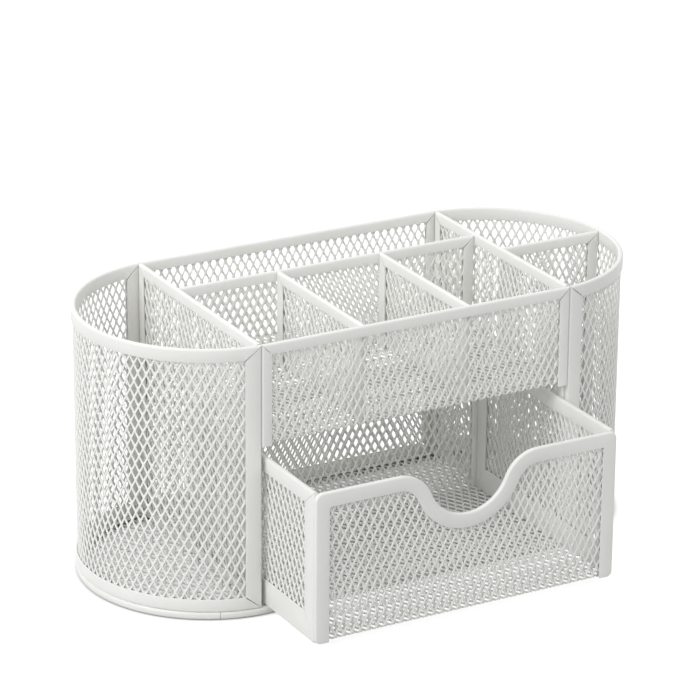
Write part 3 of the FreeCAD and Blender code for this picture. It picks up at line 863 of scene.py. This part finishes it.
@dataclass(frozen=True)
class Plan:
    """The walls of the stand seen from above, over their strips."""

    half_box: float = 65.5
    half_depth: float = 50.0
    gauge: float = 2.0
    cup_overlap: float = 1.1
    cup_bulge: float = 46.2
    play: float = 0.1

    @property
    def seam(self) -> float:
        """Where the cups meet the front and the rear wall of the box."""
        return self.half_box - self.cup_overlap

    @property
    def cup_radius(self) -> float:
        """Outer radius of a cup."""
        return (self.half_depth ** 2 + self.cup_bulge ** 2) / (2 * self.cup_bulge)

    @property
    def cup_centre(self) -> float:
        """Distance of a cup's centre from the middle of the stand."""
        return self.seam + self.cup_bulge - self.cup_radius

    @property
    def side_end(self) -> float:
        """Where the side walls end, clear of the cups' strips."""
        hollow = self.cup_radius - self.gauge
        return math.sqrt(hollow ** 2 - (self.half_box - self.cup_centre) ** 2) - self.play

    @property
    def inner_half(self) -> float:
        """Half of the room between the side walls."""
        return self.half_box - self.gauge


@dataclass(frozen=True)
class Base:
    """The floor of the stand: one sheet of net in a strip that runs all the way round."""

    plan: Plan = Plan()
    level: float = 1.5
    joint: float = -67.4
    net_inset: float = 0.6
    net_shift: tuple[float, float] = (0.7, -0.5)
    net_step: float = 6.0
    strip_step: float = 2.2
    workshop: Workshop = Workshop(STAND)
    edging: FoldedStrip = FoldedStrip(3.5, gauge=3.0, crown=0.95, joint_gap=0.14)

    def outline(self) -> Path:
        """The outline of the base, walked with its inside on the left, from the strip's joint."""
        plan, radius = self.plan, self.plan.cup_radius
        seam = math.degrees(math.asin(plan.half_depth / radius))
        left, right = (-plan.cup_centre, 0.0), (plan.cup_centre, 0.0)
        joint = 180 - self.joint
        return Path((
            Turn(left, radius, joint, 180 + seam),
            Leg((-plan.seam, -plan.half_depth), (plan.seam, -plan.half_depth)),
            Turn(right, radius, -seam, seam),
            Leg((plan.seam, plan.half_depth), (-plan.seam, plan.half_depth)),
            Turn(left, radius, 180 - seam, joint),
        ))

    def build(self) -> None:
        """Make the net and its strip."""
        outline = self.outline()
        plane = FlatWall((0.0, 0.0, self.level), ASIDE, BACK)
        length, depth = 2 * (self.plan.seam + self.plan.cup_bulge), 2 * self.plan.half_depth
        mesh = self.workshop.net.lay_out(length, depth, self.net_shift)
        bmesh.ops.translate(mesh, vec=(-length / 2, -depth / 2, 0), verts=mesh.verts)
        rings = outline.rings(self.net_step)
        for before, after in zip(rings, rings[1:]):
            start, end = outline.point(before, self.net_inset), outline.point(after, self.net_inset)
            ahead = (end - start).normalized()
            cut(mesh, (start.x, start.y, 0), (ahead.y, -ahead.x, 0))
        self.workshop.hang_net(mesh, plane, "base_mesh")

        rings = outline.rings(self.strip_step)
        rings[0] += self.edging.joint_gap / 2
        rings[-1] -= self.edging.joint_gap / 2
        strip = self.edging.sweep(rings)
        OutlineWall(outline, plane).carry(strip)
        self.workshop.fit_strip([strip], "base_rim")


@dataclass(frozen=True)
class PenCup:
    """One round-fronted pen cup."""

    side: Side
    plan: Plan = Plan()
    foot: float = 3.0
    tall: float = 102.0
    edging: float = 5.0
    stile: float = 5.95
    step: float = 1.5
    workshop: Workshop = Workshop(STAND)

    def build(self) -> None:
        """Make the wall's net, its rim, its bottom rail and its uprights."""
        plan = self.plan
        hollow = plan.cup_radius - plan.gauge
        half_angle = math.acos((plan.seam - plan.cup_centre) / hollow)
        radius = plan.cup_radius - plan.gauge / 2
        wall = CupWall(self.side, plan.cup_centre, radius, half_angle, self.foot)
        shift = (0.9, 1.1) if self.side is Side.LEFT else (-0.4, -1.3)
        panel = FramedPanel(
            self.workshop, wall, wall.length, self.tall, self.stile, self.edging,
            foot=self.edging, step=self.step, shift=shift)
        cup = f"{self.side.word}_cup"
        panel.net(f"{cup}_mesh")
        panel.four_strips(cup, "top_rim")


@dataclass(frozen=True)
class Box:
    """The side walls and the rear wall of the box between the cups."""

    plan: Plan = Plan()
    foot: float = 3.0
    tall: float = 102.0
    edging: float = 4.0
    workshop: Workshop = Workshop(STAND)

    def build(self) -> None:
        """Make the three walls."""
        for side in Side:
            self._side_wall(side)
        self._rear_wall()

    def _side_wall(self, side: Side) -> None:
        """Make one side wall.

        Args:
            side: The side that it stands on.
        """
        end = self.plan.side_end
        x = side.value * (self.plan.half_box - self.plan.gauge / 2)
        wall = FlatWall((x, -end, self.foot), BACK, UP)
        panel = FramedPanel(
            self.workshop, wall, 2 * end, self.tall, self.edging, self.edging,
            foot=self.edging, shift=(0.3 * side.value, 2.1))
        name = f"{side.word}_side"
        panel.net(f"{name}_mesh")
        panel.four_strips(name)

    def _rear_wall(self) -> None:
        """Make the rear wall."""
        seam, y = self.plan.seam, self.plan.half_depth - self.plan.gauge / 2
        wall = FlatWall((-seam, y, self.foot), ASIDE, UP)
        panel = FramedPanel(
            self.workshop, wall, 2 * seam, self.tall, self.edging, self.edging,
            foot=self.edging, shift=(-0.8, 0.6))
        panel.net("rear_wall_mesh")
        panel.strips("rear_wall_top_rail", Edge.TOP)
        panel.strips("rear_wall_bottom_rail", Edge.FOOT)
        panel.strips("rear_wall_uprights", Edge.NEAR, Edge.FAR)


@dataclass(frozen=True)
class Divider:
    """An upright divider on a floor, with a strip on its top and both ends."""

    name: str
    wall: FlatWall
    length: float
    tall: float
    shift: tuple[float, float] = (0.0, 0.0)
    edging: float = 4.0
    stile: float = 4.5
    workshop: Workshop = Workshop(STAND)

    def build(self) -> None:
        """Make the divider."""
        panel = FramedPanel(
            self.workshop, self.wall, self.length, self.tall, self.stile, self.edging,
            sheet_foot=0.1, shift=self.shift)
        panel.net(f"{self.name}_mesh")
        panel.strips(f"{self.name}_rail", Edge.TOP)
        panel.strips(f"{self.name}_uprights", Edge.NEAR, Edge.FAR)


@dataclass(frozen=True)
class Tray:
    """The shallow tray over the drawer: one bent sheet with strips on its front."""

    plan: Plan = Plan()
    height: float = 105.0
    floor: float = 66.7
    skirt: float = 0.6
    bend: float = 0.9
    edging: float = 4.0
    stile: float = 4.0
    cross_divider: float = 22.0
    rear_divider: float = 18.2
    divider_drop: float = 0.5
    half_sheet: float = 0.4
    sheet_inset: float = 0.6
    workshop: Workshop = Workshop(STAND)

    def build(self) -> None:
        """Make the bent net, the strips on its front and the dividers on its floor."""
        self._sheet()
        seam, y = self.plan.seam, self.plan.gauge / 2 - self.plan.half_depth
        wall = FlatWall((-seam, y, self.floor - self.skirt), ASIDE, UP)
        front = FramedPanel(
            self.workshop, wall, 2 * seam, self.height - self.floor + self.skirt,
            self.stile, self.edging)
        front.strips("tray_front_rail", Edge.TOP)
        front.strips("tray_front_uprights", Edge.NEAR, Edge.FAR)
        self._dividers()

    def _sheet(self) -> None:
        """Make the tray's front and floor from one net."""
        plan = self.plan
        front = plan.gauge / 2 - plan.half_depth
        rear = plan.half_depth - plan.gauge - plan.play
        profile = Path((
            Leg((front, self.height - self.sheet_inset), (front, self.floor + self.bend)),
            Turn((front + self.bend, self.floor + self.bend), self.bend, 180, 270),
            Leg((front + self.bend, self.floor), (rear, self.floor)),
        ))
        half = plan.inner_half - plan.play
        mesh = self.workshop.net.lay_out(2 * half, profile.length, (0.5, 0.4))
        bmesh.ops.translate(mesh, vec=(-half, 0, 0), verts=mesh.verts)
        lines = bend_lines(profile)
        self.workshop.net.crease(mesh, lines)
        clear = plan.seam - self.stile - plan.play
        for near, far in ((-half - 1, -clear), (clear, half + 1)):
            self.workshop.net.notch(mesh, near, far, lines[0] - NOTCH_UP, lines[-1] + NOTCH_IN)
        self.workshop.hang_net(mesh, BentWall(profile), "tray_mesh")

    def _dividers(self) -> None:
        """Make the rear divider and the two cross dividers."""
        deck = self.floor + self.half_sheet
        tall = self.height - self.divider_drop - deck
        plan = self.plan
        width = plan.inner_half - plan.play
        Divider(
            "rear_divider",
            FlatWall((-width, self.rear_divider, deck), ASIDE, UP),
            2 * width, tall, (0.2, -0.9)).build()
        start = plan.gauge + plan.play - plan.half_depth
        end = self.rear_divider - plan.gauge / 2 - plan.play
        for side in Side:
            wall = FlatWall((side.value * self.cross_divider, start, deck), BACK, UP)
            name = f"{side.word}_cross_divider"
            Divider(name, wall, end - start, tall, (0.6 * side.value, 0.8)).build()


@dataclass(frozen=True)
class CupDivider:
    """The divider that parts the right cup into a front and a rear half."""

    plan: Plan = Plan()
    foot: float = 3.0
    tall: float = 101.5

    def build(self) -> None:
        """Make the divider."""
        plan = self.plan
        reach = plan.seam + plan.cup_bulge - plan.gauge - plan.half_box - plan.play
        wall = FlatWall((plan.half_box, 0.0, self.foot), ASIDE, UP)
        Divider("right_cup_divider", wall, reach, self.tall, (-0.7, 1.4)).build()


@dataclass(frozen=True)
class Drawer:
    """The drawer: a bent basket, two sides in strips, and a front frame with a finger notch."""

    half_width: float = 62.7
    front: float = -87.0
    rear: float = 10.0
    foot: float = 3.3
    tall: float = 58.0
    gauge: float = 2.0
    bend: float = 0.9
    edging: float = 5.6
    skirting: float = 10.0
    stile: float = 6.5
    rear_stile: float = 4.0
    corner: float = 3.0
    finger_reach: float = 29.0
    shoulder: float = 14.5
    hollow: float = 16.75
    hollow_rise: float = 55.15
    half_sheet: float = 0.4
    sheet_inset: float = 0.6
    notch_inset: float = 0.8
    play: float = 0.1
    frame_step: float = 1.4
    foot_round: float = 2.0
    foot_rings: tuple[float, ...] = (0.0, 0.04, 0.12, 0.25, 0.45, 0.7, 1.0)
    joint_mouth: float = 0.12
    workshop: Workshop = Workshop(DRAWER)

    def build(self) -> None:
        """Make the basket, the front frame, the sides and the strips on the back."""
        self._basket()
        self._front_frame()
        for side in Side:
            self._drawer_side(side)
        self._rear_strips()

    def _slope(self) -> float:
        """Angle at which the notch's shoulder passes into its hollow, in degrees."""
        return math.degrees(math.asin(self.finger_reach / (self.shoulder + self.hollow)))

    def _front_edge(self) -> Path:
        """The outline of the front, from the foot of its right side over to the left one."""
        slope, top, width = self._slope(), self.tall, self.half_width
        shoulder_rise = top - self.shoulder
        return Path((
            Leg((width, 0.0), (width, top - self.corner)),
            Turn((width - self.corner, top - self.corner), self.corner, 0, 90),
            Leg((width - self.corner, top), (self.finger_reach, top)),
            Turn((self.finger_reach, shoulder_rise), self.shoulder, 90, 90 + slope),
            Turn((0.0, self.hollow_rise), self.hollow, 270 + slope, 270 - slope),
            Turn((-self.finger_reach, shoulder_rise), self.shoulder, 90 - slope, 90),
            Leg((-self.finger_reach, top), (self.corner - width, top)),
            Turn((self.corner - width, top - self.corner), self.corner, 90, 180),
            Leg((-width, top - self.corner), (-width, 0.0)),
        ))

    def _edge_height(self, x: float, inset: float) -> float:
        """Height of the front's edge over the drawer's foot.

        Args:
            x: Distance from the drawer's middle.
            inset: How far the edge is drawn in.

        Returns:
            The height at that place.
        """
        away = abs(x)
        turn = self.finger_reach * self.hollow / (self.shoulder + self.hollow)
        if away < turn:
            return self.hollow_rise - math.sqrt((self.hollow + inset) ** 2 - away ** 2)
        if away < self.finger_reach:
            reach = self.finger_reach - away
            rise = math.sqrt(max(0.0, (self.shoulder - inset) ** 2 - reach ** 2))
            return self.tall - self.shoulder + rise
        return self.tall - inset

    def _basket(self) -> None:
        """Make the drawer's front, floor and back from one net."""
        front, rear = self.front + self.gauge / 2, self.rear - self.gauge / 2
        floor, top = self.foot + self.half_sheet, self.foot + self.tall - self.sheet_inset
        profile = Path((
            Leg((front, top), (front, floor + self.bend)),
            Turn((front + self.bend, floor + self.bend), self.bend, 180, 270),
            Leg((front + self.bend, floor), (rear - self.bend, floor)),
            Turn((rear - self.bend, floor + self.bend), self.bend, 270, 360),
            Leg((rear, floor + self.bend), (rear, top)),
        ))
        half = self.half_width - self.gauge - self.play
        net = self.workshop.net
        mesh = net.lay_out(2 * half, profile.length, (0.3, -0.4))
        bmesh.ops.translate(mesh, vec=(-half, 0, 0), verts=mesh.verts)
        above = [
            face for face in mesh.faces
            if any(
                top - point.co.y - self.foot > self._edge_height(point.co.x, self.notch_inset)
                for point in face.verts)
            and face.calc_center_median().y < profile.stretches[0].length
        ]
        bmesh.ops.delete(mesh, geom=above, context="FACES")
        lines = bend_lines(profile)
        net.crease(mesh, lines)
        for stile, low, high in (
            (self.edging, lines[0] - NOTCH_UP, lines[2] + NOTCH_IN),
            (self.rear_stile, lines[3] - NOTCH_IN, lines[5] + NOTCH_UP),
        ):
            inner = self.half_width - stile - self.play
            net.notch(mesh, -half - 1, -inner, low, high)
            net.notch(mesh, inner, half + 1, low, high)
        self.workshop.hang_net(mesh, BentWall(profile), "drawer_basket_mesh")

    def _front_frame(self) -> None:
        """Make the strip that frames the front, dips with the notch and has rounded feet."""
        outline = self._front_edge()
        length = outline.length
        near = [self.foot_round * part for part in self.foot_rings]
        rings = outline.rings(self.frame_step)[1:-1]
        far = [length - way for way in reversed(near)]
        strip = FoldedStrip(self.edging).sweep(near + rings + far)
        for point in strip.verts:
            short = max(0.0, self.foot_round - min(point.co.x, length - point.co.x))
            drawn = self.foot_round - math.sqrt(max(0.0, self.foot_round ** 2 - short ** 2))
            point.co.y += drawn * (1 - point.co.y / self.edging)
        plane = FlatWall((0.0, self.front + self.gauge / 2, self.foot), ASIDE, UP)
        OutlineWall(outline, plane).carry(strip)
        self.workshop.fit_strip([strip], "drawer_front_frame")

    def _drawer_side(self, side: Side) -> None:
        """Make one side of the drawer.

        Args:
            side: The side that it stands on.
        """
        x = side.value * (self.half_width - self.gauge / 2)
        start, end = self.front + self.gauge, self.rear - self.gauge
        wall = FlatWall((x, start, self.foot), BACK, UP)
        panel = FramedPanel(
            self.workshop, wall, end - start, self.tall, self.stile, self.edging,
            foot=self.skirting, shift=(0.4 * side.value, -0.7), joint_mouth=self.joint_mouth)
        name = f"drawer_{side.word}"
        panel.net(f"{name}_mesh")
        panel.four_strips(name)

    def _rear_strips(self) -> None:
        """Make the strips on the back of the basket."""
        wall = FlatWall((-self.half_width, self.rear - self.gauge / 2, self.foot), ASIDE, UP)
        panel = FramedPanel(
            self.workshop, wall, 2 * self.half_width, self.tall, self.rear_stile, self.edging)
        panel.strips("drawer_rear_top_rail", Edge.TOP)
        panel.strips("drawer_rear_uprights", Edge.NEAR, Edge.FAR)


# --------------------------------------------------------------------------------- studio


@dataclass(frozen=True)
class SoftBox:
    """A square studio light."""

    name: str
    place: tuple[float, float, float]
    size: float
    power: float
    target: tuple[float, float, float] = (0.0, 0.0, 0.05)

    def build(self) -> None:
        """Hang the light and turn it to its target."""
        light = bpy.data.lights.new(self.name, "AREA")
        light.shape = "SQUARE"
        light.size = self.size
        light.energy = self.power
        lamp = bpy.data.objects.new(self.name, light)
        lamp.location = self.place
        away = Vector(self.place) - Vector(self.target)
        lamp.rotation_euler = away.to_track_quat("Z", "Y").to_euler()
        bpy.context.scene.collection.objects.link(lamp)


@dataclass(frozen=True)
class Studio:
    """A white table and backdrop, soft lights and the camera."""

    camera_place: tuple[float, float, float] = (-0.611012, -1.087385, 0.556289)
    camera_target: tuple[float, float, float] = (-0.0008, 0.0, 0.0749)
    camera_roll: float = math.radians(-0.46)
    lens: float = 182.96
    sensor: float = 36.0
    table_size: float = 6.0
    table_drop: float = 0.0001
    clip_end: float = 20.0
    ambient: float = 0.67
    table_tone: float = 0.45
    table_glow: float = 0.80
    # How far from the stand the painted contact shadow on the table reaches.
    painted_shadow_reach: float = 0.0025
    lights: tuple[SoftBox, ...] = field(default=(
        SoftBox("key_light", (-1.48, -0.42, 1.10), 0.9, 15.5),
        SoftBox("fill_light", (0.9, -1.7, 1.1), 1.2, 2.4),
        SoftBox("back_light", (0.3, 1.7, 1.5), 1.4, 8.0),
    ))

    def build(self) -> None:
        """Set up everything around the stand."""
        self._world()
        self._table()
        for light in self.lights:
            light.build()
        self._camera()

    @staticmethod
    def _seen(tree: bpy.types.NodeTree) -> bpy.types.NodeSocket:
        """Add nodes that tell what is seen, directly or in a gloss, from what is lit.

        Args:
            tree: The node tree.

        Returns:
            A socket that is 1 for a ray that sees and 0 for one that lights.
        """
        path = tree.nodes.new("ShaderNodeLightPath")
        seen = path.outputs["Is Camera Ray"]
        for name in ("Is Glossy Ray", "Is Transmission Ray"):
            either = tree.nodes.new("ShaderNodeMath")
            either.operation = "MAXIMUM"
            tree.links.new(seen, either.inputs[0])
            tree.links.new(path.outputs[name], either.inputs[1])
            seen = either.outputs[0]
        return seen

    def _world(self) -> None:
        """Make the backdrop white and the light around the stand even."""
        world = bpy.data.worlds.new("backdrop")
        bpy.context.scene.world = world
        world.use_nodes = True
        tree = world.node_tree
        tree.nodes.clear()
        lit = tree.nodes.new("ShaderNodeBackground")
        lit.inputs["Color"].default_value = (1.0, 1.0, 1.0, 1.0)
        lit.inputs["Strength"].default_value = self.ambient
        white = tree.nodes.new("ShaderNodeBackground")
        white.inputs["Color"].default_value = (1.0, 1.0, 1.0, 1.0)
        mix = tree.nodes.new("ShaderNodeMixShader")
        out = tree.nodes.new("ShaderNodeOutputWorld")
        tree.links.new(self._seen(tree), mix.inputs["Fac"])
        tree.links.new(lit.outputs[0], mix.inputs[1])
        tree.links.new(white.outputs[0], mix.inputs[2])
        tree.links.new(mix.outputs[0], out.inputs["Surface"])

    def _table(self) -> None:
        """Lay the white table under the stand, whose glow is dimmed close to the stand into a
        painted contact shadow.
        """
        material = bpy.data.materials.new("white_table")
        material.use_nodes = True
        tree = material.node_tree
        tree.nodes.clear()
        paint = tree.nodes.new("ShaderNodeBsdfDiffuse")
        paint.inputs["Color"].default_value = (*(self.table_tone,) * 3, 1.0)
        glow = tree.nodes.new("ShaderNodeEmission")
        glow.inputs["Color"].default_value = (1.0, 1.0, 1.0, 1.0)
        lift = tree.nodes.new("ShaderNodeMath")
        lift.operation = "MULTIPLY"
        lift.inputs[1].default_value = self.table_glow
        # Ambient occlusion dims the table's glow close to the stand: a painted contact shadow along
        # the base rim.
        painted_contact_shadow = tree.nodes.new("ShaderNodeAmbientOcclusion")
        painted_contact_shadow.inputs["Distance"].default_value = self.painted_shadow_reach
        strength = tree.nodes.new("ShaderNodeMath")
        strength.operation = "MULTIPLY"
        both = tree.nodes.new("ShaderNodeAddShader")
        out = tree.nodes.new("ShaderNodeOutputMaterial")
        tree.links.new(self._seen(tree), lift.inputs[0])
        tree.links.new(lift.outputs[0], strength.inputs[0])
        tree.links.new(painted_contact_shadow.outputs["AO"], strength.inputs[1])
        tree.links.new(strength.outputs[0], glow.inputs["Strength"])
        tree.links.new(paint.outputs[0], both.inputs[0])
        tree.links.new(glow.outputs[0], both.inputs[1])
        tree.links.new(both.outputs[0], out.inputs["Surface"])

        mesh = bmesh.new()
        bmesh.ops.create_grid(mesh, x_segments=1, y_segments=1, size=self.table_size / 2)
        bmesh.ops.translate(mesh, vec=(0, 0, -self.table_drop), verts=mesh.verts)
        data = bpy.data.meshes.new("table")
        mesh.to_mesh(data)
        mesh.free()
        data.materials.append(material)
        table = bpy.data.objects.new("table", data)
        bpy.context.scene.collection.objects.link(table)

    def _camera(self) -> None:
        """Place the camera."""
        data = bpy.data.cameras.new("camera")
        data.lens = self.lens
        data.sensor_width = self.sensor
        data.clip_end = self.clip_end
        camera = bpy.data.objects.new("camera", data)
        bpy.context.scene.collection.objects.link(camera)
        back = (Vector(self.camera_place) - Vector(self.camera_target)).normalized()
        right = Vector(UP).cross(back).normalized()
        up = back.cross(right)
        turned = Matrix((right, up, back)).transposed() @ Matrix.Rotation(-self.camera_roll, 3, "Z")
        camera.matrix_world = Matrix.Translation(self.camera_place) @ turned.to_4x4()
        bpy.context.scene.camera = camera
        bpy.context.scene.view_settings.view_transform = "Standard"


def main() -> None:
    """Build every sub-assembly and the studio, and log each piece's face count."""
    logging.basicConfig(level=logging.INFO, format="%(name)s %(message)s")
    assemblies = (
        Base(), PenCup(Side.LEFT), PenCup(Side.RIGHT), Box(), Tray(), CupDivider(), Drawer(),
        Studio(),
    )
    for assembly in assemblies:
        assembly.build()
        LOG.info("%s is built", type(assembly).__name__)


if __name__ == "__main__":
    main()
